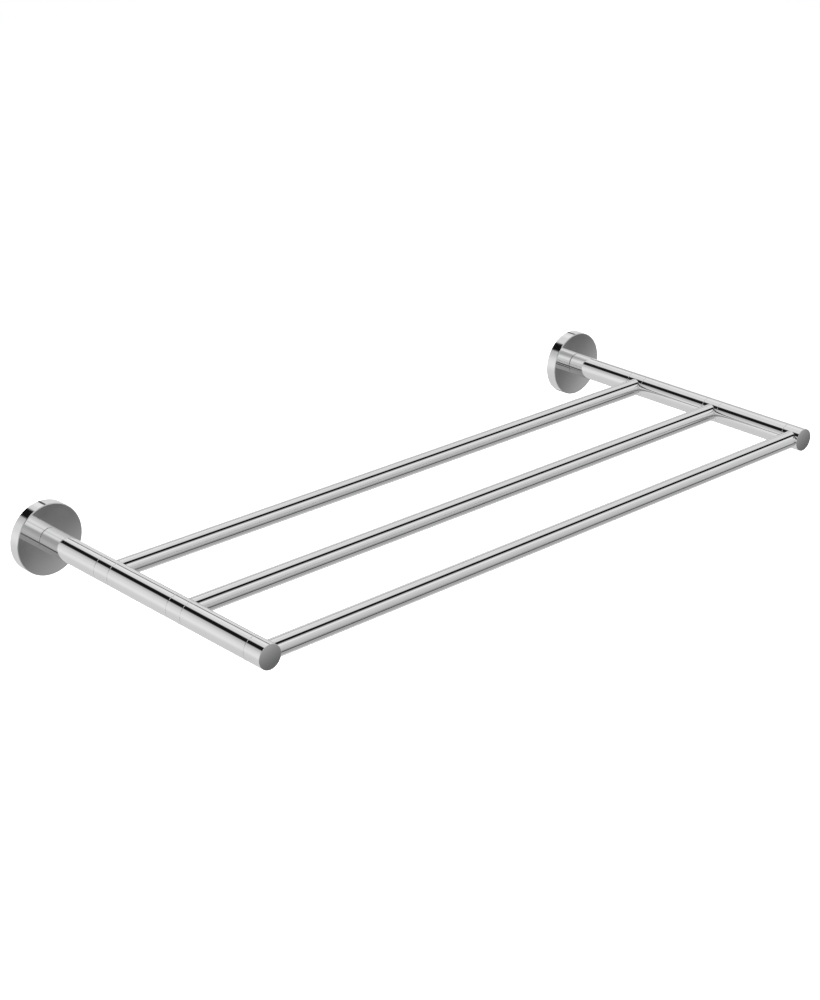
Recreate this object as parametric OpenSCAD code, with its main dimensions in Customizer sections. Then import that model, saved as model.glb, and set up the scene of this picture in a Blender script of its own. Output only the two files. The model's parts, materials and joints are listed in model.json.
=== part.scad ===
// Three-rail chrome towel rack for a bathroom wall.
//
// Two round arms stand out from two round wall flanges and carry three level rails.
// Each arm is a stack: flange, spacer tube, tee, spacer tube, tee, spacer tube, front tee.
// A tie rod runs through the whole stack. It screws into the front tee, and a nut
// in the hollow back of the flange pulls everything tight. Each rail end holds a brass
// plug, whose spigot enters a tee and is pinned there by the same tie rod.
// The flange drops over a plate screwed to the wall, and a grub screw from below locks it.
//
// Millimetres. The origin lies on the wall, midway between the arms, at the height of
// their axes. +X is to the right as seen from the room, +Y goes into the wall, +Z is up.

/* [Rack] */
// Distance between the centres of the two arms
arm_spacing = 600; // [300:10:900]
// Distance from the wall to the centre of the rear rail
first_rail = 91.5; // [60:0.5:120]
// Distance between the centres of neighbouring rails
rail_pitch = 90; // [60:1:120]

/* [Arms] */
// Outside diameter of the arms
arm_d = 20; // [19:0.5:24]
// Wall thickness of the spacer tubes
arm_wall = 1.5; // [1:0.25:2]
// Length of the tee that shows between two spacer tubes
tee_len = 17; // [16:0.5:22]
// How far the front tee goes on past its own tee length
nose_len = 0.5; // [0.5:0.5:6]

/* [Rails] */
// Outside diameter of the rails
rail_d = 15; // [14:0.5:16]
// Wall thickness of the rail tubes
rail_wall = 1; // [0.75:0.25:1.25]
// Length of the plug inside each rail end
plug_len = 20; // [10:1:40]

/* [Wall flanges] */
// Diameter of the flanges
flange_d = 60; // [58:1:80]
// Thickness of the flanges
flange_t = 10.5; // [10:0.5:14]
// Thickness of the rim round the hollow back
rim_wall = 5; // [4:0.25:5]

/* [Wall plates] */
// Thickness of the wall plates
plate_t = 6; // [5.5:0.25:6.5]
// Distance between the two screw holes of a wall plate
screw_spacing = 30; // [28:1:31]
// Diameter of the screw holes
screw_hole_d = 5; // [4:0.5:5.5]
// Diameter of the countersink for the screw heads
screw_head_d = 10; // [8:0.5:10]

/* [Fasteners] */
// Thread diameter of the tie rods
rod_d = 6; // [5:0.5:6]
// Thread diameter of the grub screws
grub_d = 4; // [3:0.5:4]
// Length of the grub screws
grub_len = 6; // [5:0.5:6]

/* [Hidden] */
$fn = 96;

// Sides of the rack and rows of rails
LEFT = -1;
RIGHT = 1;
REAR = 0;
MIDDLE = 1;
FRONT = 2;

// Colours
CHROME = [0.82, 0.83, 0.84];
ZINC_PLATE = [0.62, 0.64, 0.67];
BRASS = [0.80, 0.67, 0.36];
BLACK_OXIDE = [0.12, 0.12, 0.13];

// Fits and small edges
fit = 0.05;         // radial gap between parts that slide together
rod_gap = 0.2;      // radial gap round the tie rod where it only passes through
cope_gap = 0.05;    // gap between a coped rail end and the tee
seam_edge = 0.3;    // chamfer on each side of a seam along the arm
crisp_edge = 0.4;   // chamfer on the flange edge and on the front end of the arm
over = 1;           // how far a cutting tool runs past what it cuts

// Radii
arm_r = arm_d / 2;
bore_r = arm_r - arm_wall;
spigot_r = bore_r - fit;
spigot_len = 6;
rod_r = rod_d / 2;
rod_hole_r = rod_r + rod_gap;
thread_r = rod_r + fit;

// Distance of a rail from the wall, and of the front end of the arm
function rail_at(row) = first_rail + row * rail_pitch;
arm_end = rail_at(FRONT) + tee_len / 2 + nose_len;

// Hollow back of the flange
pocket_r = flange_d / 2 - rim_wall;
web_t = 3.5;
pocket_depth = flange_t - web_t;

// Wall plate
plate_gap = 0.8;            // radial gap in the hollow back
plate_r = pocket_r - plate_gap;
plate_bore_r = 8;
groove_depth = 1.5;         // V-groove that takes the point of the grub screw
grub_level = plate_t / 2 + 0.5;

// Tie rod, washer and nut
washer_r = rod_d;
washer_t = 1.6;
nut_across_flats = rod_d + 4;
nut_t = 3.2;
rod_start = 1;              // distance of the rod's rear end from the wall
rod_cap = 4;                // metal left in front of the blind thread
rod_tip_gap = 1;            // room left at the bottom of the blind thread
rod_edge = 0.6;

// Rail plug
plug_spigot_r = 4.5;
plug_hole_r = plug_spigot_r + fit;
plug_spigot_reach = 5.5;    // how far the spigot goes on past the arm's axis
plug_shoulder = arm_r + 0.5;
plug_edge = 0.5;

// Grub screw
grub_r = grub_d / 2;
grub_tip_r = 0.4;
grub_cone = 1.4;
grub_start = plate_r - groove_depth + fit;
grub_socket = grub_d / 2;   // across the flats of its hexagon
grub_socket_depth = 2;

// ---- Placing ----------------------------------------------------------------

// Stands a part up from the wall: its own z becomes the distance from the wall,
// its own y points up, and its own x points from the arm towards the rails.
module stand_on_arm(side) {
    if (side == LEFT)
        translate([-arm_spacing / 2, 0, 0])
            rotate([90, 0, 0])
                children();
    else
        mirror([1, 0, 0])
            translate([-arm_spacing / 2, 0, 0])
                rotate([90, 0, 0])
                    children();
}

// Hexagonal bar along z, measured across its flats
module hexagon_bar(across_flats, len) {
    cylinder(r = across_flats / 2 / cos(30), h = len, $fn = 6);
}

// ---- Wall fixing ------------------------------------------------------------

// Half profile of the wall plate, with the V-groove in its edge
module plate_profile() {
    polygon([
        [plate_bore_r, 0],
        [plate_r, 0],
        [plate_r, grub_level - groove_depth],
        [plate_r - groove_depth, grub_level],
        [plate_r, grub_level + groove_depth],
        [plate_r, plate_t],
        [plate_bore_r, plate_t]
    ]);
}

// Hole for a countersunk wood screw, with its head at the front of the plate
module screw_hole() {
    sink = (screw_head_d - screw_hole_d) / 2;
    translate([0, 0, -over])
        cylinder(d = screw_hole_d, h = plate_t + 2 * over);
    translate([0, 0, plate_t - sink])
        cylinder(d1 = screw_hole_d, d2 = screw_head_d + 2 * over, h = sink + over);
}

module wall_plate(side) {
    color(ZINC_PLATE)
        stand_on_arm(side)
            difference() {
                rotate_extrude()
                    plate_profile();
                for (y = [-screw_spacing / 2, screw_spacing / 2])
                    translate([0, y, 0])
                        screw_hole();
            }
}

// Half profile of the flange: hollow back, flat front and a spigot for the first tube
module flange_profile() {
    flange_r = flange_d / 2;
    spigot_end = flange_t + spigot_len;
    polygon([
        [pocket_r, 0],
        [flange_r, 0],
        [flange_r, flange_t - crisp_edge],
        [flange_r - crisp_edge, flange_t],
        [spigot_r, flange_t],
        [spigot_r, spigot_end - seam_edge],
        [spigot_r - seam_edge, spigot_end],
        [rod_hole_r, spigot_end],
        [rod_hole_r, pocket_depth],
        [pocket_r, pocket_depth]
    ]);
}

module flange(side) {
    color(CHROME)
        stand_on_arm(side)
            difference() {
                rotate_extrude($fn = 180)
                    flange_profile();
                translate([0, 0, grub_level])
                    rotate([90, 0, 0])
                        translate([0, 0, pocket_r - over])
                            cylinder(r = grub_r + fit, h = rim_wall + 2 * over);
            }
}

// Grub screw with a cone point at the plate and a hexagon socket facing down
module flange_grub_screw(side) {
    color(BLACK_OXIDE)
        stand_on_arm(side)
            translate([0, 0, grub_level])
                rotate([90, 0, 0])
                    translate([0, 0, grub_start])
                        difference() {
                            union() {
                                cylinder(r1 = grub_tip_r, r2 = grub_r, h = grub_cone);
                                translate([0, 0, grub_cone])
                                    cylinder(r = grub_r, h = grub_len - grub_cone);
                            }
                            translate([0, 0, grub_len - grub_socket_depth])
                                hexagon_bar(grub_socket, grub_socket_depth + over);
                        }
}

// ---- Arms -------------------------------------------------------------------

// Threaded rod that clamps one arm together, with chamfered ends
module tie_rod(side) {
    rod_end = arm_end - rod_cap - rod_tip_gap;
    color(ZINC_PLATE)
        stand_on_arm(side)
            rotate_extrude()
                polygon([
                    [0, rod_start],
                    [rod_r - rod_edge, rod_start],
                    [rod_r, rod_start + rod_edge],
                    [rod_r, rod_end - rod_edge],
                    [rod_r - rod_edge, rod_end],
                    [0, rod_end]
                ]);
}

module tie_rod_washer(side) {
    color(ZINC_PLATE)
        stand_on_arm(side)
            translate([0, 0, pocket_depth - washer_t])
                difference() {
                    cylinder(r = washer_r, h = washer_t);
                    translate([0, 0, -over])
                        cylinder(r = rod_hole_r, h = washer_t + 2 * over);
                }
}

module tie_rod_nut(side) {
    color(ZINC_PLATE)
        stand_on_arm(side)
            translate([0, 0, pocket_depth - washer_t - nut_t])
                difference() {
                    hexagon_bar(nut_across_flats, nut_t);
                    translate([0, 0, -over])
                        cylinder(r = thread_r, h = nut_t + 2 * over);
                }
}

// Tube between two tees, or between the flange and the rear tee
module spacer_tube(side, row) {
    from = row == REAR ? flange_t : rail_at(row - 1) + tee_len / 2;
    to = rail_at(row) - tee_len / 2;
    color(CHROME)
        stand_on_arm(side)
            rotate_extrude()
                polygon([
                    [bore_r, from],
                    [arm_r - seam_edge, from],
                    [arm_r, from + seam_edge],
                    [arm_r, to - seam_edge],
                    [arm_r - seam_edge, to],
                    [bore_r, to]
                ]);
}

// Hole in a tee for the spigot of a rail plug, from the rail side to past the middle
module plug_hole(row) {
    reach = plug_spigot_reach + 0.5;
    translate([-reach, 0, rail_at(row)])
        rotate([0, 90, 0])
            cylinder(r = plug_hole_r, h = reach + arm_r + over);
}

// Tee of the rear and middle rails, with a spigot at each end
module through_tee(side, row) {
    from = rail_at(row) - tee_len / 2;
    to = rail_at(row) + tee_len / 2;
    color(CHROME)
        stand_on_arm(side)
            difference() {
                rotate_extrude()
                    polygon([
                        [rod_hole_r, from - spigot_len],
                        [spigot_r - seam_edge, from - spigot_len],
                        [spigot_r, from - spigot_len + seam_edge],
                        [spigot_r, from],
                        [arm_r - seam_edge, from],
                        [arm_r, from + seam_edge],
                        [arm_r, to - seam_edge],
                        [arm_r - seam_edge, to],
                        [spigot_r, to],
                        [spigot_r, to + spigot_len - seam_edge],
                        [spigot_r - seam_edge, to + spigot_len],
                        [rod_hole_r, to + spigot_len]
                    ]);
                plug_hole(row);
            }
}

// Front tee: one spigot, a closed front end and a blind thread for the tie rod
module front_tee(side) {
    from = rail_at(FRONT) - tee_len / 2;
    color(CHROME)
        stand_on_arm(side)
            difference() {
                rotate_extrude()
                    polygon([
                        [thread_r, from - spigot_len],
                        [spigot_r - seam_edge, from - spigot_len],
                        [spigot_r, from - spigot_len + seam_edge],
                        [spigot_r, from],
                        [arm_r - seam_edge, from],
                        [arm_r, from + seam_edge],
                        [arm_r, arm_end - crisp_edge],
                        [arm_r - crisp_edge, arm_end],
                        [0, arm_end],
                        [0, arm_end - rod_cap],
                        [thread_r, arm_end - rod_cap]
                    ]);
                plug_hole(FRONT);
            }
}

// ---- Rails ------------------------------------------------------------------

// Tube from arm to arm, with both ends coped to sit round the tees
module rail(row) {
    color(CHROME)
        translate([0, -rail_at(row), 0])
            difference() {
                rotate([0, 90, 0])
                    cylinder(d = rail_d, h = arm_spacing, center = true);
                rotate([0, 90, 0])
                    cylinder(d = rail_d - 2 * rail_wall, h = arm_spacing + 2 * over, center = true);
                for (x = [-arm_spacing / 2, arm_spacing / 2])
                    translate([x, 0, 0])
                        rotate([90, 0, 0])
                            cylinder(r = arm_r + cope_gap, h = rail_d + 2 * over, center = true);
            }
}

// Plug in a rail end: a thick part inside the rail, and a spigot that the tie rod pins
module rail_plug(side, row) {
    body_r = rail_d / 2 - rail_wall - fit;
    plug_end = plug_shoulder + plug_len;
    color(BRASS)
        stand_on_arm(side)
            translate([0, 0, rail_at(row)])
                difference() {
                    rotate([0, 90, 0])
                        rotate_extrude()
                            polygon([
                                [0, -plug_spigot_reach],
                                [plug_spigot_r - plug_edge, -plug_spigot_reach],
                                [plug_spigot_r, plug_edge - plug_spigot_reach],
                                [plug_spigot_r, plug_shoulder],
                                [body_r, plug_shoulder],
                                [body_r, plug_end - plug_edge],
                                [body_r - plug_edge, plug_end],
                                [0, plug_end]
                            ]);
                    cylinder(r = rod_hole_r, h = 3 * plug_spigot_r, center = true);
                }
}

// ---- Assembly ---------------------------------------------------------------

wall_plate(LEFT);  // left_wall_plate
wall_plate(RIGHT);  // right_wall_plate
flange(LEFT);  // left_flange
flange(RIGHT);  // right_flange
flange_grub_screw(LEFT);  // left_flange_grub_screw
flange_grub_screw(RIGHT);  // right_flange_grub_screw

tie_rod(LEFT);  // left_tie_rod
tie_rod(RIGHT);  // right_tie_rod
tie_rod_nut(LEFT);  // left_tie_rod_nut
tie_rod_nut(RIGHT);  // right_tie_rod_nut
tie_rod_washer(LEFT);  // left_tie_rod_washer
tie_rod_washer(RIGHT);  // right_tie_rod_washer

spacer_tube(LEFT, REAR);  // left_rear_spacer_tube
spacer_tube(RIGHT, REAR);  // right_rear_spacer_tube
spacer_tube(LEFT, MIDDLE);  // left_middle_spacer_tube
spacer_tube(RIGHT, MIDDLE);  // right_middle_spacer_tube
spacer_tube(LEFT, FRONT);  // left_front_spacer_tube
spacer_tube(RIGHT, FRONT);  // right_front_spacer_tube

through_tee(LEFT, REAR);  // left_rear_tee
through_tee(RIGHT, REAR);  // right_rear_tee
through_tee(LEFT, MIDDLE);  // left_middle_tee
through_tee(RIGHT, MIDDLE);  // right_middle_tee
front_tee(LEFT);  // left_front_tee
front_tee(RIGHT);  // right_front_tee

rail(REAR);  // rear_rail
rail(MIDDLE);  // middle_rail
rail(FRONT);  // front_rail

rail_plug(LEFT, REAR);  // left_rear_rail_plug
rail_plug(RIGHT, REAR);  // right_rear_rail_plug
rail_plug(LEFT, MIDDLE);  // left_middle_rail_plug
rail_plug(RIGHT, MIDDLE);  // right_middle_rail_plug
rail_plug(LEFT, FRONT);  // left_front_rail_plug
rail_plug(RIGHT, FRONT);  // right_front_rail_plug
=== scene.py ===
"""Looks of the three-rail chrome towel rack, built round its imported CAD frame.

Every visible CAD node is replaced by a finished mesh on the same axis and in the same box:
turned parts are lathed from rounded half profiles, rails are coped to the tees, and screws,
rods and nuts get their threads. Lengths are metres, in the CAD frame: the rails run along X,
the arms stand out towards -Y, and Z is up. The wall would be the plane y = 0.
"""

import json
import math

import bmesh
import bpy
from mathutils import Matrix, Vector
from mathutils.bvhtree import BVHTree

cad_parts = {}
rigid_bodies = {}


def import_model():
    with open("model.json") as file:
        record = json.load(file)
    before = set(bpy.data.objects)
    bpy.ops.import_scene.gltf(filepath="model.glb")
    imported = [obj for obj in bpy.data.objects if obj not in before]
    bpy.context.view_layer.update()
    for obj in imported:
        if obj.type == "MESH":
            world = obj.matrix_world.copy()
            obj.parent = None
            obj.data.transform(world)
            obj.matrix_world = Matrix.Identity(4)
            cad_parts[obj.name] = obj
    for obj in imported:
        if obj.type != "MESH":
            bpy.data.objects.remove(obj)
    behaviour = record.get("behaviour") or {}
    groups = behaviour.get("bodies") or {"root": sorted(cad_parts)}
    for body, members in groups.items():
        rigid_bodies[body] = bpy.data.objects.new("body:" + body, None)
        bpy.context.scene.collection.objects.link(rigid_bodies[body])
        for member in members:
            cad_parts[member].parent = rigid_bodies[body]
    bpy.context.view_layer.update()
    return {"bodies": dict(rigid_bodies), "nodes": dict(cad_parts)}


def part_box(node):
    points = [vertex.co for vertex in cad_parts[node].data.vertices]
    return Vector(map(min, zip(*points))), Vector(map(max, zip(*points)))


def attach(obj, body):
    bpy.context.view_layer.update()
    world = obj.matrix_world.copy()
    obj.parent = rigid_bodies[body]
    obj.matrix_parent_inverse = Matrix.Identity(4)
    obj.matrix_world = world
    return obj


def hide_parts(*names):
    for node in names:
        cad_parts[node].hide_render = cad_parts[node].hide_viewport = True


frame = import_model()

MM = 0.001
TAU = 2 * math.pi
SIDES = ("left", "right")
ROWS = ("rear", "middle", "front")


# ---- Sizes read from the frame ----------------------------------------------

def box_size(node):
    low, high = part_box(node)
    return high - low


def box_middle(node):
    low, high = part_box(node)
    return (low + high) / 2


def reach(node):
    """Nearest and furthest distance of a node from the wall."""
    low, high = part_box(node)
    return -high.y, -low.y


ARM_X = box_middle("right_front_spacer_tube").x
ARM_R = box_size("left_front_spacer_tube").x / 2
RAIL_R = box_size("front_rail").z / 2
FLANGE_R = box_size("left_flange").x / 2
PLATE_R = box_size("left_wall_plate").x / 2
ROD_R = box_size("left_tie_rod").x / 2
WASHER_R = box_size("left_tie_rod_washer").x / 2
NUT_FLATS = box_size("left_tie_rod_nut").z
GRUB_R = box_size("left_flange_grub_screw").x / 2
PLUG_R = box_size("left_front_rail_plug").z / 2

# Sections and gaps that the boxes don't show, as in the CAD part
TUBE_WALL = 1.5 * MM
RAIL_WALL = 1.0 * MM
FIT_GAP = 0.05 * MM
ROD_HOLE_R = ROD_R + 0.2 * MM
THREAD_HOLE_R = ROD_R + FIT_GAP
SPIGOT_R = ARM_R - TUBE_WALL - FIT_GAP
SPIGOT_LEN = 6 * MM
FLANGE_WEB = 3.5 * MM
FLANGE_RIM = 5 * MM
ROD_CAP = 4 * MM
PLUG_SPIGOT_R = 4.5 * MM
PLUG_SPIGOT_REACH = 5.5 * MM
PLUG_SHOULDER = ARM_R + 0.5 * MM
PLUG_HOLE_REACH = 6 * MM
PLATE_BORE_R = 8 * MM
SCREW_HOLE_R = 2.5 * MM
SCREW_HEAD_R = 5 * MM
SCREW_SPACING = 30 * MM
GROOVE_DEPTH = 1.5 * MM
GRUB_SOCKET_DEPTH = 2 * MM

# Threads: pitches and threaded lengths, then depth and the half flats at root and crest in pitches
ROD_PITCH = 1.0 * MM
GRUB_PITCH = 0.7 * MM
ROD_NUT_THREAD = 14 * MM
ROD_TEE_THREAD = 20 * MM
THREAD_DEPTH = 0.6134
HALF_ROOT = 1 / 16
HALF_CREST = 1 / 8
RINGS_PER_PITCH = 10

# Edge roundings
SEAM_EDGE = 0.3 * MM
CRISP_EDGE = 0.4 * MM
FLANGE_EDGE = 0.6 * MM
CAP_EDGE = 0.2 * MM
FINE_EDGE = 0.12 * MM

# The flange faces are very slightly dished and the front caps very slightly domed
FLANGE_DISH = 0.25 * MM
CAP_DOME = 0.08 * MM

# Steps round a full turn
FINE_TURN = 160
PLAIN_TURN = 96
THREAD_TURN = 48

# A radius below this is on the axis, and a cutting tool goes this far past a surface
ON_AXIS = 1e-9
OVERSHOOT = 1 * MM


# ---- Profiles ---------------------------------------------------------------

def rounded(corners, steps=5):
    """Closed outline through (radius, height, rounding) corners, with an arc in each rounded one.
    A point just before and after each arc keeps the flat faces' shading flat."""
    lead = 0.25
    points = []
    count = len(corners)
    for i, (r, h, rounding) in enumerate(corners):
        here = Vector((r, h))
        if rounding == 0:
            points.append(here)
            continue
        before = Vector(corners[i - 1][:2]) - here
        after = Vector(corners[(i + 1) % count][:2]) - here
        half = before.angle(after) / 2
        cut = rounding / math.tan(half)
        start = here + before.normalized() * cut
        end = here + after.normalized() * cut
        bisector = (before.normalized() + after.normalized()).normalized()
        centre = here + bisector * (rounding / math.sin(half))
        points.append(start + before.normalized() * rounding * lead)
        first, last = start - centre, end - centre
        sweep = first.angle_signed(last)
        for k in range(steps + 1):
            points.append(centre + Matrix.Rotation(-sweep * k / steps, 2) @ first)
        points.append(end + after.normalized() * rounding * lead)
    return [(p.x, p.y) for p in points]


def bowed(r_from, r_to, height, bow, steps=8):
    """Corners across a face that is bowed outwards by `bow` at the axis (inwards if negative)
    and level with `height` at the larger radius."""
    widest = max(r_from, r_to)
    corners = []
    for k in range(1, steps):
        r = r_from + (r_to - r_from) * k / steps
        corners.append((r, height + bow * (1 - (r / widest) ** 2), 0))
    return corners


# ---- Meshes -----------------------------------------------------------------

def sharpen(bm, degrees=38):
    """Smooth shading with hard edges where the faces meet at a clear angle."""
    limit = math.radians(degrees)
    for face in bm.faces:
        face.smooth = True
    for edge in bm.edges:
        if len(edge.link_faces) == 2:
            edge.smooth = edge.calc_face_angle(0) < limit


def as_mesh(name, bm):
    bmesh.ops.recalc_face_normals(bm, faces=bm.faces)
    sharpen(bm)
    mesh = bpy.data.meshes.new(name)
    bm.to_mesh(mesh)
    bm.free()
    return mesh


def loft(rings, loop=True):
    """Skins rings of points. A ring of one point is a pole; loop joins the last ring to the first."""
    bm = bmesh.new()
    made = [[bm.verts.new(p) for p in ring] for ring in rings]
    pairs = list(zip(made, made[1:]))
    if loop:
        pairs.append((made[-1], made[0]))
    for a, b in pairs:
        count = max(len(a), len(b))
        for k in range(count):
            j = (k + 1) % count
            corners = [a[k % len(a)], a[j % len(a)], b[j % len(b)], b[k % len(b)]]
            unique = list(dict.fromkeys(corners))
            if len(unique) > 2:
                bm.faces.new(unique)
    return bm


def plain_ring(place, r, height, steps):
    return [place(r, TAU * k / steps, height) for k in range(steps)]


def lathe(profile, place, steps=FINE_TURN):
    """Turns (radius, height) points round an axis. place(radius, angle, height) gives a point."""
    rings = []
    for r, h in profile:
        if r < ON_AXIS:
            rings.append([place(0, 0, h)])
        else:
            rings.append(plain_ring(place, r, h, steps))
    return loft(rings, loop=profile[0][0] > ON_AXIS or profile[-1][0] > ON_AXIS)


def cut(mesh, *tools):
    """Takes the tools' closed meshes out of a mesh, and gives the result both parents' shading."""
    target = bpy.data.objects.new("cut_target", mesh)
    bpy.context.scene.collection.objects.link(target)
    parents = [(mesh, 1)]
    helpers = [target]
    for tool in tools:
        cutter = bpy.data.objects.new("cut_tool", tool)
        bpy.context.scene.collection.objects.link(cutter)
        helpers.append(cutter)
        modifier = target.modifiers.new("cut", "BOOLEAN")
        modifier.operation = "DIFFERENCE"
        modifier.solver = "EXACT"
        modifier.object = cutter
        parents.append((tool, -1))
    graph = bpy.context.evaluated_depsgraph_get()
    result = bpy.data.meshes.new_from_object(target.evaluated_get(graph))
    carry_shading(result, parents)
    for helper in helpers:
        bpy.data.objects.remove(helper)
    return result


def smooth_normal(mesh, tree, point, facing):
    """Interpolated normal of a mesh at a point on it, or None if the point isn't on its surface."""
    on_surface = 2e-6
    least_match = 0.85
    tiny_area = 1e-14
    best, best_match = None, least_match
    for _, _, index, _ in tree.find_nearest_range(point, on_surface):
        match = mesh.polygons[index].normal.dot(facing)
        if match > best_match:
            best, best_match = mesh.polygons[index], match
    if best is None:
        return None
    total = Vector((0, 0, 0))
    for loop_index in best.loop_indices:
        corner = mesh.vertices[mesh.loops[loop_index].vertex_index].co
        weight = 1 / ((corner - point).length_squared + tiny_area)
        total += mesh.corner_normals[loop_index].vector * weight
    return total.normalized()


def corner_keys(mesh, polygon):
    """The polygon's corners as whole numbers, to find the same corner in another mesh."""
    steps_per_metre = 1e7
    keys = []
    for index in polygon.vertices:
        keys.append(tuple(round(c * steps_per_metre) for c in mesh.vertices[index].co))
    return keys


def carry_shading(result, parents):
    """Gives each corner of a cut mesh the smooth normal of the surface that it came from."""
    body = parents[0][0]
    untouched = {}
    for polygon in body.polygons:
        keys = corner_keys(body, polygon)
        normals = [body.corner_normals[i].vector.copy() for i in polygon.loop_indices]
        untouched[frozenset(keys)] = dict(zip(keys, normals))
    sources = []
    for mesh, sign in parents:
        corners = [v.co for v in mesh.vertices]
        polygons = [tuple(p.vertices) for p in mesh.polygons]
        sources.append((mesh, sign, BVHTree.FromPolygons(corners, polygons)))
    normals = [Vector((0, 0, 0))] * len(result.loops)
    for polygon in result.polygons:
        polygon.use_smooth = True
        keys = corner_keys(result, polygon)
        same = untouched.get(frozenset(keys))
        for key, loop_index in zip(keys, polygon.loop_indices):
            if same:
                normals[loop_index] = same[key]
                continue
            point = result.vertices[result.loops[loop_index].vertex_index].co
            normals[loop_index] = polygon.normal.copy()
            for mesh, sign, tree in sources:
                normal = smooth_normal(mesh, tree, point, polygon.normal * sign)
                if normal is not None:
                    normals[loop_index] = normal * sign
                    break
    result.normals_split_custom_set(normals)


# ---- Places -----------------------------------------------------------------

def on_arm(side):
    """Cylindrical places round an arm's axis: height is the distance out from the wall,
    angle 0 points at the rails and a quarter turn is up."""
    middle = box_middle(f"{side}_front_spacer_tube")
    inward = -1 if side == "right" else 1

    def place(r, angle, height):
        x = middle.x + inward * r * math.cos(angle)
        return Vector((x, -height, middle.z + r * math.sin(angle)))

    return place


def on_plug(side, row):
    """Places round a rail's axis: height is the distance from the arm's axis towards the rails."""
    arm_x = box_middle(f"{side}_front_spacer_tube").x
    rail = box_middle(f"{row}_rail")
    inward = -1 if side == "right" else 1

    def place(r, angle, height):
        y = rail.y + r * math.cos(angle)
        return Vector((arm_x + inward * height, y, rail.z + r * math.sin(angle)))

    return place


def on_grub(side):
    """Places round a grub screw: height is the distance from the flange's axis, downwards."""
    screw = box_middle(f"{side}_flange_grub_screw")
    arm_z = box_middle(f"{side}_front_spacer_tube").z

    def place(r, angle, height):
        x = screw.x + r * math.cos(angle)
        return Vector((x, screw.y + r * math.sin(angle), arm_z - height))

    return place


def rod_through(side, r):
    """A closed rod on the arm's axis, longer than the arm, to cut holes for the tie rod."""
    start, end = -10 * MM, 400 * MM
    profile = [(0, start), (r, start), (r, end), (0, end)]
    return as_mesh("rod_tool", lathe(profile, on_arm(side), PLAIN_TURN))


# ---- Pieces -----------------------------------------------------------------

def piece(node, mesh, material):
    """Puts a finished mesh in the scene in place of a CAD node."""
    body = next(b for b, e in frame["bodies"].items() if frame["nodes"][node].parent == e)
    mesh.name = node + "_finished"
    mesh.materials.clear()
    mesh.materials.append(material)
    made = bpy.data.objects.new(node + "_finished", mesh)
    bpy.context.scene.collection.objects.link(made)
    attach(made, body)
    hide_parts(node)


def spacer_tube(side, row):
    start, end = reach(f"{side}_{row}_spacer_tube")
    bore = ARM_R - TUBE_WALL
    profile = rounded([
        (bore, start, FINE_EDGE),
        (ARM_R, start, SEAM_EDGE),
        (ARM_R, end, SEAM_EDGE),
        (bore, end, FINE_EDGE),
    ])
    return as_mesh("tube", lathe(profile, on_arm(side)))


def plug_hole(side, row):
    """The tool that cuts a tee's hole for the rail plug."""
    profile = [(0, -PLUG_HOLE_REACH), (PLUG_SPIGOT_R + FIT_GAP, -PLUG_HOLE_REACH)]
    profile += [(PLUG_SPIGOT_R + FIT_GAP, 2 * ARM_R), (0, 2 * ARM_R)]
    return as_mesh("plug_tool", lathe(profile, on_plug(side, row), PLAIN_TURN))


def through_tee(side, row):
    start, end = reach(f"{side}_{row}_tee")
    back, front = start + SPIGOT_LEN, end - SPIGOT_LEN
    profile = rounded([
        (ROD_HOLE_R, start, FINE_EDGE),
        (SPIGOT_R, start, SEAM_EDGE),
        (SPIGOT_R, back, 0),
        (ARM_R, back, SEAM_EDGE),
        (ARM_R, front, SEAM_EDGE),
        (SPIGOT_R, front, 0),
        (SPIGOT_R, end, SEAM_EDGE),
        (ROD_HOLE_R, end, FINE_EDGE),
    ])
    body = as_mesh("tee", lathe(profile, on_arm(side)))
    return cut(body, plug_hole(side, row))


def front_tee(side):
    start, end = reach(f"{side}_front_tee")
    back = start + SPIGOT_LEN
    profile = rounded([
        (THREAD_HOLE_R, start, FINE_EDGE),
        (SPIGOT_R, start, SEAM_EDGE),
        (SPIGOT_R, back, 0),
        (ARM_R, back, SEAM_EDGE),
        (ARM_R, end - CAP_DOME, CAP_EDGE),
        *bowed(ARM_R, 0, end - CAP_DOME, CAP_DOME),
        (0, end, 0),
        (0, end - ROD_CAP, 0),
        (THREAD_HOLE_R, end - ROD_CAP, 0),
    ])
    turn = profile.index((0, end)) + 1
    profile = profile[turn:] + profile[:turn]
    body = as_mesh("tee", lathe(profile, on_arm(side)))
    return cut(body, plug_hole(side, "front"))


def flange(side):
    _, end = reach(f"{side}_flange")
    face = end - SPIGOT_LEN
    pocket_r = FLANGE_R - FLANGE_RIM
    floor = face - FLANGE_WEB
    profile = rounded([
        (pocket_r, 0, FINE_EDGE),
        (FLANGE_R, 0, SEAM_EDGE),
        (FLANGE_R, face, FLANGE_EDGE),
        *bowed(FLANGE_R, SPIGOT_R, face, -FLANGE_DISH),
        (SPIGOT_R, face - FLANGE_DISH * (1 - (SPIGOT_R / FLANGE_R) ** 2), 0),
        (SPIGOT_R, end, SEAM_EDGE),
        (ROD_HOLE_R, end, FINE_EDGE),
        (ROD_HOLE_R, floor, FINE_EDGE),
        (pocket_r, floor, CRISP_EDGE),
    ])
    body = as_mesh("flange", lathe(profile, on_arm(side), 2 * FINE_TURN))
    hole_r = GRUB_R + FIT_GAP
    flare = 0.3 * MM
    start = pocket_r - OVERSHOOT
    tool = [(0, start), (hole_r, start), (hole_r, FLANGE_R - flare)]
    tool += [(hole_r + 2 * flare, FLANGE_R + flare), (0, FLANGE_R + flare)]
    return cut(body, as_mesh("grub_tool", lathe(tool, on_grub(side), PLAIN_TURN)))


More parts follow.
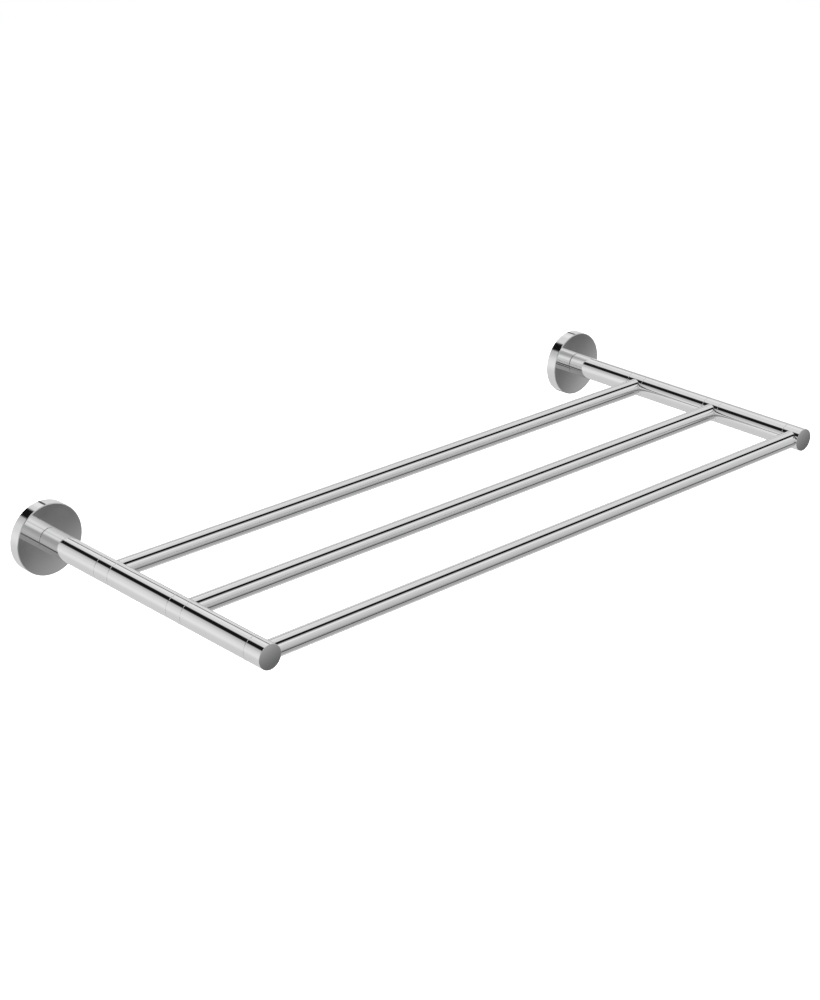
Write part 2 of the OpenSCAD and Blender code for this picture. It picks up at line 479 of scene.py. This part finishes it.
def wall_plate(side):
    _, front = reach(f"{side}_wall_plate")
    groove = -box_middle(f"{side}_flange_grub_screw").y
    profile = rounded([
        (PLATE_BORE_R, 0, FINE_EDGE),
        (PLATE_R, 0, FINE_EDGE),
        (PLATE_R, groove - GROOVE_DEPTH, FINE_EDGE),
        (PLATE_R - GROOVE_DEPTH, groove, FINE_EDGE),
        (PLATE_R, groove + GROOVE_DEPTH, FINE_EDGE),
        (PLATE_R, front, CRISP_EDGE),
        (PLATE_BORE_R, front, CRISP_EDGE),
    ])
    tools = []
    for up in (-SCREW_SPACING / 2, SCREW_SPACING / 2):
        tools.append(screw_hole(side, up, front))
    return cut(as_mesh("plate", lathe(profile, on_arm(side))), *tools)


def screw_hole(side, up, front):
    """The tool that cuts a countersunk screw hole in a wall plate."""
    sink = SCREW_HEAD_R - SCREW_HOLE_R
    profile = [(0, -OVERSHOOT), (SCREW_HOLE_R, -OVERSHOOT), (SCREW_HOLE_R, front - sink)]
    profile += [(SCREW_HEAD_R + OVERSHOOT, front + OVERSHOOT), (0, front + OVERSHOOT)]
    middle = box_middle(f"{side}_front_spacer_tube")

    def place(r, angle, height):
        return Vector((middle.x + r * math.cos(angle), -height, middle.z + up + r * math.sin(angle)))

    return as_mesh("screw_tool", lathe(profile, place, PLAIN_TURN))


def rail(row):
    """A tube from tee to tee. Each point of its ends lies on the cylinder that clears the tee."""
    middle = box_middle(f"{row}_rail")
    cope_r = ARM_R + FIT_GAP
    bore = RAIL_R - RAIL_WALL
    lead = 1.5 * SEAM_EDGE
    flat = 1.25 * SEAM_EDGE
    arc_steps = 4
    segments = 24
    outline = []
    for side in (1, -1):
        edge = [(RAIL_R, lead)]
        for k in range(arc_steps + 1):
            turn = math.pi / 2 * k / arc_steps
            drop = SEAM_EDGE * (1 - math.cos(turn))
            edge.append((RAIL_R - drop, SEAM_EDGE * (1 - math.sin(turn))))
        edge.append((RAIL_R - flat, 0))
        edge.append((bore, 0))
        edge = [(r, side, offset) for r, offset in edge]
        outline += edge if side == 1 else edge[::-1]

    def end_x(r, side, offset, angle):
        up = r * math.sin(angle)
        return side * (ARM_X - math.sqrt(cope_r**2 - up**2) - offset)

    def ring(r, along):
        points = []
        for k in range(FINE_TURN):
            angle = TAU * k / FINE_TURN
            point = (along(angle), middle.y + r * math.cos(angle), middle.z + r * math.sin(angle))
            points.append(point)
        return points

    def stretch(r, from_side, offset):
        rings = []
        for k in range(1, segments):
            share = k / segments
            rings.append(ring(r, lambda a: end_x(r, from_side, offset, a) * (1 - 2 * share)))
        return rings

    half = len(outline) // 2
    rings = [ring(r, lambda a, r=r, s=s, o=o: end_x(r, s, o, a)) for r, s, o in outline[:half]]
    rings += stretch(bore, 1, 0)
    rings += [ring(r, lambda a, r=r, s=s, o=o: end_x(r, s, o, a)) for r, s, o in outline[half:]]
    rings += stretch(RAIL_R, -1, lead)
    return as_mesh("rail", loft(rings))


def rail_plug(side, row):
    low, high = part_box(f"{side}_{row}_rail_plug")
    end = (high.x - low.x) - PLUG_SPIGOT_REACH
    edge = 0.5 * MM
    relief = 0.4 * MM
    relief_half = 1.5 * MM
    full_from = 2 * MM
    waist = PLUG_SHOULDER + (end - PLUG_SHOULDER) / 2
    profile = rounded([
        (0, -PLUG_SPIGOT_REACH, 0),
        (PLUG_SPIGOT_R, -PLUG_SPIGOT_REACH, edge),
        (PLUG_SPIGOT_R, PLUG_SHOULDER, 0),
        (PLUG_R, PLUG_SHOULDER, FINE_EDGE),
        (PLUG_R, waist - full_from, FINE_EDGE),
        (PLUG_R - relief, waist - relief_half, FINE_EDGE),
        (PLUG_R - relief, waist + relief_half, FINE_EDGE),
        (PLUG_R, waist + full_from, FINE_EDGE),
        (PLUG_R, end, edge),
        (0, end, 0),
    ])
    body = as_mesh("plug", lathe(profile, on_plug(side, row), PLAIN_TURN))
    return cut(body, rod_through(side, ROD_HOLE_R))


# ---- Threads ----------------------------------------------------------------

def thread_depth(angle, height, pitch):
    """Depth of a thread below its crest, with flats at crest and root."""
    phase = (height / pitch - angle / TAU) % 1
    slope = (abs(phase - 0.5) - HALF_ROOT) / (0.5 - HALF_ROOT - HALF_CREST)
    return THREAD_DEPTH * pitch * min(1, max(0, 1 - slope))


def threaded_rings(place, crest_r, start, end, pitch, steps, taper):
    """Rings of a threaded stretch. taper is the length over which the crest runs out at each end."""
    rings = []
    count = max(2, round((end - start) / pitch * RINGS_PER_PITCH))
    for i in range(count + 1):
        height = start + (end - start) * i / count
        from_end = min(height - start, end - height)
        limit = crest_r - max(0, taper - from_end)
        ring = []
        for k in range(steps):
            angle = TAU * k / steps
            r = crest_r - thread_depth(angle, height, pitch)
            ring.append(place(min(r, limit), angle, height))
        rings.append(ring)
    return rings


def tie_rod(side):
    """Threaded at both ends, for the nut and the front tee, and plain between."""
    place = on_arm(side)
    start, end = reach(f"{side}_tie_rod")
    nut_end = start + ROD_NUT_THREAD
    tee_start = end - ROD_TEE_THREAD
    run_out = 0.5 * MM
    taper = 0.6 * MM
    rings = [[place(0, 0, start)]]
    rings += threaded_rings(place, ROD_R, start, nut_end, ROD_PITCH, THREAD_TURN, taper)
    for height in (nut_end + run_out, tee_start - run_out):
        rings.append(plain_ring(place, ROD_R, height, THREAD_TURN))
    rings += threaded_rings(place, ROD_R, tee_start, end, ROD_PITCH, THREAD_TURN, taper)
    rings.append([place(0, 0, end)])
    return as_mesh("rod", loft(rings, loop=False))


def hexagon_radius(angle, flats):
    sixth = TAU / 6
    return flats / 2 / math.cos((angle % sixth) - sixth / 2)


def tie_rod_nut(side):
    """Hexagon nut with its corners turned off at 30 degrees and a real thread inside."""
    place = on_arm(side)
    start, end = reach(f"{side}_tie_rod_nut")
    angles = [TAU * k / PLAIN_TURN + TAU / 12 for k in range(PLAIN_TURN)]
    face_r = 0.475 * NUT_FLATS
    slope = math.tan(math.radians(30))
    mouth = 0.5 * MM

    def turned(share, height, inward):
        ring = []
        for angle in angles:
            r = face_r + (hexagon_radius(angle, NUT_FLATS) - face_r) * share
            ring.append(place(r, angle, height + inward * (r - face_r) * slope))
        return ring

    rings = [turned(share, end, -1) for share in (0, 0.5, 1)]
    rings += [turned(share, start, 1) for share in (1, 0.5, 0)]
    count = round((end - start) / ROD_PITCH * RINGS_PER_PITCH)
    for i in range(count + 1):
        height = start + (end - start) * i / count
        countersink = max(0, mouth - min(height - start, end - height))
        least_r = THREAD_HOLE_R - mouth + countersink
        ring = []
        for angle in angles:
            r = THREAD_HOLE_R - thread_depth(angle, height, ROD_PITCH)
            ring.append(place(max(r, least_r), angle, height))
        rings.append(ring)
    return as_mesh("nut", loft(rings))


def tie_rod_washer(side):
    start, end = reach(f"{side}_tie_rod_washer")
    profile = rounded([
        (ROD_HOLE_R, start, FINE_EDGE),
        (WASHER_R, start, CRISP_EDGE),
        (WASHER_R, end, FINE_EDGE),
        (ROD_HOLE_R, end, FINE_EDGE),
    ])
    return as_mesh("washer", lathe(profile, on_arm(side), PLAIN_TURN))


def flange_grub_screw(side):
    """Cone point towards the wall plate, thread, and a hexagon socket that faces down."""
    place = on_grub(side)
    low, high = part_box(f"{side}_flange_grub_screw")
    start, end = -high.z, -low.z
    cone_end = start + 1.4 * MM
    cone_r = GRUB_R - 0.43 * MM
    point_r = 0.4 * MM
    point_inner_r = 0.3 * MM
    end_face_r = 1.4 * MM
    taper = 0.35 * MM
    socket_flats = GRUB_R
    socket_mouth = 0.15 * MM
    socket_floor = end - GRUB_SOCKET_DEPTH
    drill_point = 0.4 * MM

    def socket_ring(height, extra=0.0):
        ring = []
        for k in range(THREAD_TURN):
            angle = TAU * k / THREAD_TURN
            ring.append(place(hexagon_radius(angle, socket_flats) + extra, angle, height))
        return ring

    rings = [[place(0, 0, start)]]
    for r, height in ((point_inner_r, start), (point_r, start), (cone_r, cone_end)):
        rings.append(plain_ring(place, r, height, THREAD_TURN))
    rings += threaded_rings(place, GRUB_R, cone_end, end, GRUB_PITCH, THREAD_TURN, taper)
    rings.append(plain_ring(place, end_face_r, end, THREAD_TURN))
    rings += [socket_ring(end, socket_mouth), socket_ring(end - socket_mouth)]
    rings += [socket_ring(socket_floor), [place(0, 0, socket_floor - drill_point)]]
    return as_mesh("grub", loft(rings, loop=False))


# ---- Materials --------------------------------------------------------------

# How fine the turning lines are along a piece and round it, and the specks
LINES_PER_METRE = 1500
ARCS_PER_METRE = 50
SPECKS_PER_METRE = 700

# Where on the noise's scale light patches turn dark and groups of specks appear
PATCH_SPAN = (0.35, 0.65)
SPECK_SPAN = (0.55, 0.6)
GROUPS_PER_PATCH = 4

# A speck's inner and outer radius as shares of its cell, its haze, and the lines' part in the haze
SPECK_RADII = (0.04, 0.1)
SPECK_HAZE = 2.0
LINES_SHARE = 0.35

WHITE_METAL = (0.910, 0.910, 0.912)
WHITE_METAL_DIM = (0.885, 0.885, 0.888)


class Graph:
    """Adds nodes to a node tree. An input is a number or colour, or an output to link. It is
    named as in Blender with _ for a space, or n0, n1 and so on by its place."""

    def __init__(self, tree):
        self.tree = tree
        tree.nodes.clear()

    def node(self, kind, settings=None, **inputs):
        made = self.tree.nodes.new(kind)
        for name, value in (settings or {}).items():
            setattr(made, name, value)
        for name, value in inputs.items():
            key = int(name[1:]) if name[0] == "n" and name[1:].isdigit() else name.replace("_", " ")
            self.feed(made.inputs[key], value)
        return made

    def feed(self, socket, value):
        if isinstance(value, bpy.types.NodeSocket):
            self.tree.links.new(value, socket)
        else:
            socket.default_value = value

    def math(self, operation, a, b=0.0, c=0.0):
        return self.node("ShaderNodeMath", {"operation": operation}, n0=a, n1=b, n2=c).outputs[0]

    def mix(self, share, a, b):
        """Number that goes from a to b as share goes from 0 to 1."""
        step = self.math("SUBTRACT", b, a)
        return self.math("ADD", a, self.math("MULTIPLY", step, share))

    def square(self, value):
        return self.math("MULTIPLY", value, value)

    def noise(self, place, scale, detail):
        return self.node("ShaderNodeTexNoise", Vector=place, Scale=scale, Detail=detail).outputs[0]

    def blend(self, share, a, b):
        """Colour that goes from a to b as share goes from 0 to 1."""
        settings = {"data_type": "RGBA"}
        return self.node("ShaderNodeMix", settings, n0=share, n6=(*a, 1), n7=(*b, 1)).outputs[2]

    def bump(self, height, distance):
        return self.node("ShaderNodeBump", Strength=1.0, Distance=distance, Height=height).outputs[0]

    def span(self, value, low, high, to_low, to_high, kind="LINEAR"):
        """Maps low..high to to_low..to_high and holds the ends."""
        made = self.node(
            "ShaderNodeMapRange", {"interpolation_type": kind},
            n0=value, n1=low, n2=high, n3=to_low, n4=to_high,
        )
        return made.outputs[0]


def new_material(name):
    material = bpy.data.materials.new(name)
    material.use_nodes = True
    return material, Graph(material.node_tree)


def place_coordinates(graph):
    place = graph.node("ShaderNodeTexCoord").outputs["Object"]
    split = graph.node("ShaderNodeSeparateXYZ", Vector=place)
    return place, split.outputs["X"], split.outputs["Y"], split.outputs["Z"]


def turning(graph, axis):
    """Noise in fine rings round the arms or the rails, as turning and buffing leave them."""
    _, x, y, z = place_coordinates(graph)
    if axis == "arm":
        aside = graph.math("SUBTRACT", graph.math("ABSOLUTE", x), ARM_X)
        radius = graph.math("SQRT", graph.math("ADD", graph.square(aside), graph.square(z)))
        run = graph.math("SUBTRACT", radius, y)
    else:
        aside, run = y, x
    run = graph.math("MULTIPLY", run, LINES_PER_METRE)
    aside = graph.math("MULTIPLY", aside, ARCS_PER_METRE)
    around = graph.math("MULTIPLY", z, ARCS_PER_METRE)
    rings = graph.node("ShaderNodeCombineXYZ", X=run, Y=aside, Z=around).outputs[0]
    return graph.noise(rings, scale=1.0, detail=2.0)


def metal(name, axis, light, dark, smooth, rough, groove, patch=30.0):
    """Metal whose colour goes from light to dark in soft patches and whose roughness goes from
    smooth to rough with the patches, the turning lines and a few specks. patch is the number of
    patches in a metre, and groove the depth of the lines."""
    material, graph = new_material(name)
    place = place_coordinates(graph)[0]
    patches = graph.span(graph.noise(place, patch, detail=3.0), *PATCH_SPAN, 0, 1)
    lines = turning(graph, axis)
    cells = graph.node("ShaderNodeTexVoronoi", Vector=place, Scale=SPECKS_PER_METRE)
    specks = graph.span(cells.outputs["Distance"], *SPECK_RADII, 1, 0)
    few = graph.span(graph.noise(place, GROUPS_PER_PATCH * patch, detail=0.0), *SPECK_SPAN, 0, 1)
    specks = graph.math("MULTIPLY", specks, few)
    colour = graph.blend(patches, light, dark)
    haze = graph.mix(LINES_SHARE, patches, lines)
    haze = graph.math("MAXIMUM", haze, graph.math("MULTIPLY", specks, SPECK_HAZE))
    roughness = graph.math("ADD", smooth, graph.math("MULTIPLY", haze, rough - smooth))
    shader = graph.node(
        "ShaderNodeBsdfPrincipled",
        Base_Color=colour,
        Metallic=1.0,
        Roughness=roughness,
        Normal=graph.bump(lines, groove),
    )
    graph.node("ShaderNodeOutputMaterial", Surface=shader.outputs[0])
    return material


arm_chrome = metal(
    "arm_chrome", "arm", WHITE_METAL, WHITE_METAL_DIM,
    smooth=0.03, rough=0.08, groove=0.0015 * MM,
)
rail_chrome = metal(
    "rail_chrome", "rail", WHITE_METAL, WHITE_METAL_DIM,
    smooth=0.03, rough=0.08, groove=0.0015 * MM,
)
zinc = metal(
    "zinc_plate", "arm", (0.72, 0.74, 0.78), (0.63, 0.65, 0.68),
    smooth=0.22, rough=0.38, groove=0.008 * MM, patch=60.0,
)
brass = metal(
    "brass", "rail", (0.80, 0.62, 0.30), (0.62, 0.45, 0.20),
    smooth=0.18, rough=0.38, groove=0.008 * MM, patch=150.0,
)
black = metal(
    "black_oxide", "arm", (0.055, 0.055, 0.060), (0.030, 0.030, 0.032),
    smooth=0.30, rough=0.50, groove=0.006 * MM, patch=300.0,
)


def build_rack():
    for side in SIDES:
        piece(f"{side}_flange", flange(side), arm_chrome)
        piece(f"{side}_wall_plate", wall_plate(side), zinc)
        piece(f"{side}_tie_rod", tie_rod(side), zinc)
        piece(f"{side}_tie_rod_nut", tie_rod_nut(side), zinc)
        piece(f"{side}_tie_rod_washer", tie_rod_washer(side), zinc)
        piece(f"{side}_flange_grub_screw", flange_grub_screw(side), black)
        for row in ROWS:
            piece(f"{side}_{row}_spacer_tube", spacer_tube(side, row), arm_chrome)
            tee = front_tee(side) if row == "front" else through_tee(side, row)
            piece(f"{side}_{row}_tee", tee, arm_chrome)
            piece(f"{side}_{row}_rail_plug", rail_plug(side, row), brass)
    for row in ROWS:
        piece(f"{row}_rail", rail(row), rail_chrome)


# ---- Camera -----------------------------------------------------------------

def make_camera():
    """Looks down on the rack from the front left."""
    azimuth = math.radians(-42.85)
    elevation = math.radians(23.3)
    distance = 1.767
    target = Vector((0, -0.110, 0))
    pan = Vector((-0.007, -0.021, 0))
    back = Vector((
        math.sin(azimuth) * math.cos(elevation),
        -math.cos(azimuth) * math.cos(elevation),
        math.sin(elevation),
    ))
    data = bpy.data.cameras.new("camera")
    data.lens = 76
    data.sensor_width = 36
    camera = bpy.data.objects.new("camera", data)
    turn = (-back).to_track_quat("-Z", "Y")
    camera.rotation_mode = "QUATERNION"
    camera.rotation_quaternion = turn
    camera.location = target + back * distance + turn @ pan
    data.clip_start, data.clip_end = 0.05, 50
    bpy.context.scene.collection.objects.link(camera)
    bpy.context.scene.camera = camera


# ---- Studio -----------------------------------------------------------------

# A white room, a little darker towards the floor and on the far side from the wall. Greys are as
# displayed. Each pair says where one grey turns into the other: it is a direction's share upwards,
# or for SIDE_TO_FRONT its share towards the wall.
CEILING_GREY = 0.87
FLOOR_GREY = 0.82
FLOOR_TO_CEILING = (-0.8, 0.1)
FRONT_CEILING_GREY = 0.86
FRONT_FLOOR_GREY = 0.68
FRONT_FLOOR_TO_CEILING = (-0.45, 0.45)
SIDE_TO_FRONT = (-0.5, -0.7)
DISPLAY_GAMMA = 2.2

# Long strips hang in the room roughly parallel to the arms or to the rails, so that each shows as
# one even line along them. A strip's place is its angle round that axis: 0 at the right (arms) or
# at the wall (rails), 90 overhead and -90 below. The angle is given abreast of the rack and then
# ahead along the axis. Then come the half width and the soft edge in degrees, where the strip ends
# (as a cosine from the axis) and its grey. A later strip hangs in front of an earlier one.
ABREAST = 0.5
AHEAD = 0.8
END_FADE = 0.1
TOWARDS_WALL = {
    "ceiling_light": (60, 60, 9, 6, 0.3, 0.93),
    "boom": (24, 47, 3.5, 1.5, 0.5, 0.22),
    "left_light": (185, 185, 15, 15, -0.4, 0.92),
    "grey_flag": (149, 110, 24, 14, -0.4, 0.75),
    "black_flag": (134, 101, 15, 5, -0.4, 0.11),
    "low_boom": (-42, -42, 7, 3, 0.35, 0.25),
}
AWAY_FROM_WALL = {
    "grey_flag": (45, 145, 35, 25, 0.4, 0.66),
    "floor_cloth": (-90, -90, 40, 15, 0.4, 0.58),
    "low_boom": (-164, -139, 7, 3, 0.4, 0.3),
}
TO_BOTH_SIDES = {
    "black_flag": (110, 110, 12, 4, 0.0, 0.08),
    "light": (139, 139, 7, 4, 0.0, 0.94),
    "floor_cloth": (-110, -110, 18, 8, 0.0, 0.66),
    "low_boom": (-136, -136, 5, 2, 0.45, 0.2),
}

# Two narrow grey cards low in front, which the flanges and the front caps reflect: azimuth from
# the wall's side, clockwise from above, elevation and tilt, half width, half height and soft edge
# in degrees, and the greys at foot and head.
CARDS = {
    "flange_card": (140, -22, -17, 11, 1.2, 1, 0.22, 0.7),
    "cap_card": (133, -24.5, -24, 12, 2.2, 1, 0.34, 0.64),
}

FLOOR_LEVEL = -2.2
FLOOR_HALF = 12
FLOOR_PAINT = (0.9, 0.9, 0.9, 1)
FLOOR_ROUGHNESS = (0.8, 0.9)
MOTTLES_PER_METRE = 3.0
MOTTLE_SPAN = (0.3, 0.7)
LAMP_WIDTH = math.radians(60)
LAMP_ENERGY = 5


def soft_band(graph, off, half, edge):
    """1 inside a band of that half width and 0 outside it, with an edge that is soft both ways."""
    away = graph.math("ABSOLUTE", off)
    return graph.span(away, half + edge, half - edge, 0, 1, "SMOOTHSTEP")


def add_strip(graph, parts, light, settings):
    """Hangs one strip over the light. parts are the direction's share along the strip, and its
    two shares across it, the second one upwards."""
    along, across, up = parts
    abreast, ahead, half, edge, last, grey = settings
    turn = graph.math("DEGREES", graph.math("ARCTAN2", up, across))
    centre = graph.span(along, ABREAST, AHEAD, abreast, ahead)
    off = graph.math("WRAP", graph.math("SUBTRACT", turn, centre), 180, -180)
    near = graph.span(along, last, last + END_FADE, 0, 1)
    mask = graph.math("MULTIPLY", soft_band(graph, off, half, edge), near)
    return graph.mix(mask, light, grey)


def add_card(graph, parts, light, settings):
    """Stands one soft-edged, graduated card in front of the light."""
    azimuth, elevation, tilt, *halves, edge = (math.radians(v) for v in settings[:6])
    foot, head = settings[6:]
    out = Vector((
        math.sin(azimuth) * math.cos(elevation),
        math.cos(azimuth) * math.cos(elevation),
        math.sin(elevation),
    ))
    level = Vector((math.cos(azimuth), -math.sin(azimuth), 0))
    turned = Matrix.Rotation(-tilt, 3, out)
    width = turned @ level
    height = turned @ level.cross(out)

    def share(axis):
        total = 0.0
        for part, length in zip(parts, axis):
            total = graph.math("MULTIPLY_ADD", part, length, total)
        return total

    turn = graph.math("ARCTAN2", share(width), share(out))
    rise = graph.math("ARCSINE", share(height))
    mask = 1.0
    for angle, half in zip((turn, rise), halves):
        mask = graph.math("MULTIPLY", soft_band(graph, angle, half, edge), mask)
    grey = graph.span(rise, -halves[1], halves[1], foot, head)
    return graph.mix(mask, light, grey)


def make_studio():
    """The rack reflects the room and its strips, and the camera sees plain white behind it."""
    world = bpy.data.worlds.new("studio")
    world.use_nodes = True
    graph = Graph(world.node_tree)
    direction = graph.node("ShaderNodeTexCoord").outputs["Generated"]
    split = graph.node("ShaderNodeSeparateXYZ", Vector=direction)
    x, y, z = (split.outputs[axis] for axis in "XYZ")
    light = graph.span(z, *FLOOR_TO_CEILING, FLOOR_GREY, CEILING_GREY, "SMOOTHSTEP")
    front = graph.span(z, *FRONT_FLOOR_TO_CEILING, FRONT_FLOOR_GREY, FRONT_CEILING_GREY)
    light = graph.mix(graph.span(y, *SIDE_TO_FRONT, 0, 1), light, front)
    away = graph.math("MULTIPLY", y, -1)
    aside = graph.math("ABSOLUTE", x)
    for settings in TOWARDS_WALL.values():
        light = add_strip(graph, (y, x, z), light, settings)
    for settings in AWAY_FROM_WALL.values():
        light = add_strip(graph, (away, x, z), light, settings)
    for settings in TO_BOTH_SIDES.values():
        light = add_strip(graph, (aside, y, z), light, settings)
    for settings in CARDS.values():
        light = add_card(graph, (x, y, z), light, settings)
    light = graph.math("POWER", light, DISPLAY_GAMMA)
    seen = graph.node("ShaderNodeLightPath").outputs["Is Camera Ray"]
    light = graph.mix(seen, light, 1.0)
    background = graph.node("ShaderNodeBackground", Color=light, Strength=1.0)
    graph.node("ShaderNodeOutputWorld", Surface=background.outputs[0])
    bpy.context.scene.world = world


def make_floor():
    """Pale floor far below, in soft light from above. The chrome reflects neither of the two."""
    corners = []
    for x, y in ((-1, -1), (1, -1), (1, 1), (-1, 1)):
        corners.append((x * FLOOR_HALF, y * FLOOR_HALF, FLOOR_LEVEL))
    mesh = bpy.data.meshes.new("floor")
    mesh.from_pydata(corners, [], [(0, 1, 2, 3)])
    material, graph = new_material("floor_paint")
    mottle = graph.noise(place_coordinates(graph)[0], MOTTLES_PER_METRE, detail=2.0)
    roughness = graph.span(mottle, *MOTTLE_SPAN, *FLOOR_ROUGHNESS)
    shader = graph.node("ShaderNodeBsdfPrincipled", Base_Color=FLOOR_PAINT, Roughness=roughness)
    graph.node("ShaderNodeOutputMaterial", Surface=shader.outputs[0])
    mesh.materials.append(material)
    floor = bpy.data.objects.new("floor", mesh)
    light = bpy.data.lights.new("soft_light", "SUN")
    light.angle = LAMP_WIDTH
    light.energy = LAMP_ENERGY
    lamp = bpy.data.objects.new("soft_light", light)
    for made in (floor, lamp):
        bpy.context.scene.collection.objects.link(made)
        made.visible_glossy = False


make_camera()
build_rack()
make_studio()
make_floor()
bpy.context.scene.view_settings.view_transform = "Standard"
